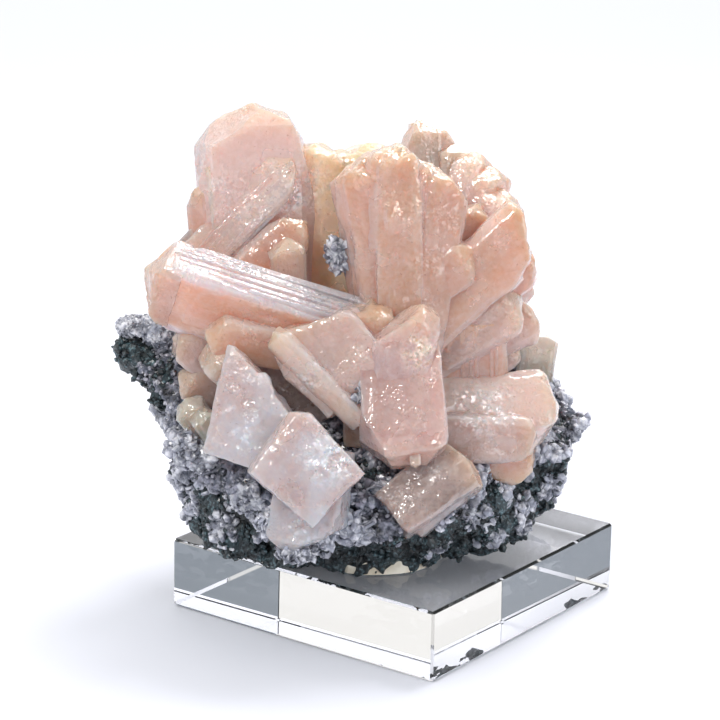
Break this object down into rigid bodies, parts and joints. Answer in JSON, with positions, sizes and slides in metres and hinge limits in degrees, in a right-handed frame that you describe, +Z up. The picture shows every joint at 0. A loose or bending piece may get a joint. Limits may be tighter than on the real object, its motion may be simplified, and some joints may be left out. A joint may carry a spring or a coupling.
{
  "type": "mineral specimen",
  "caption": "Cluster of bladed stilbite crystals on a dark basalt lump crusted with chalcedony, fixed with putty on a square clear acrylic display block.",
  "frame": {"origin": "centre of the acrylic block's underside", "axes": "+Z up, +X and +Y along the block's sides; the specimen's front looks out over the block's corner between -Y and +X, turned 36.1 degrees about +Z from -Y"},
  "size_m": [0.074, 0.0761, 0.0904],
  "materials": {
    "acrylic": "clear cast acrylic, polished",
    "putty": "matt mounting putty",
    "basalt": "rough, granular, green-black",
    "chalcedony": "sparkling druse, lilac-grey to white",
    "stilbite_peach": "glassy to pearly, milky peach-pink",
    "stilbite_frosted": "frosted, pale pink-grey with a pearly sheen",
    "stilbite_pale": "glassy, off-white"
  },
  "bodies": {
    "root": {"acrylic_block": "acrylic", "mounting_putty": "putty", "basalt_matrix": "basalt", "chalcedony_crust": "chalcedony", "stilbite_cluster": "stilbite_peach", "stilbite_front_pair": "stilbite_frosted", "stilbite_side_crystal": "stilbite_pale", "stilbite_left_crystals": "stilbite_pale"}
  },
  "joints": []
}
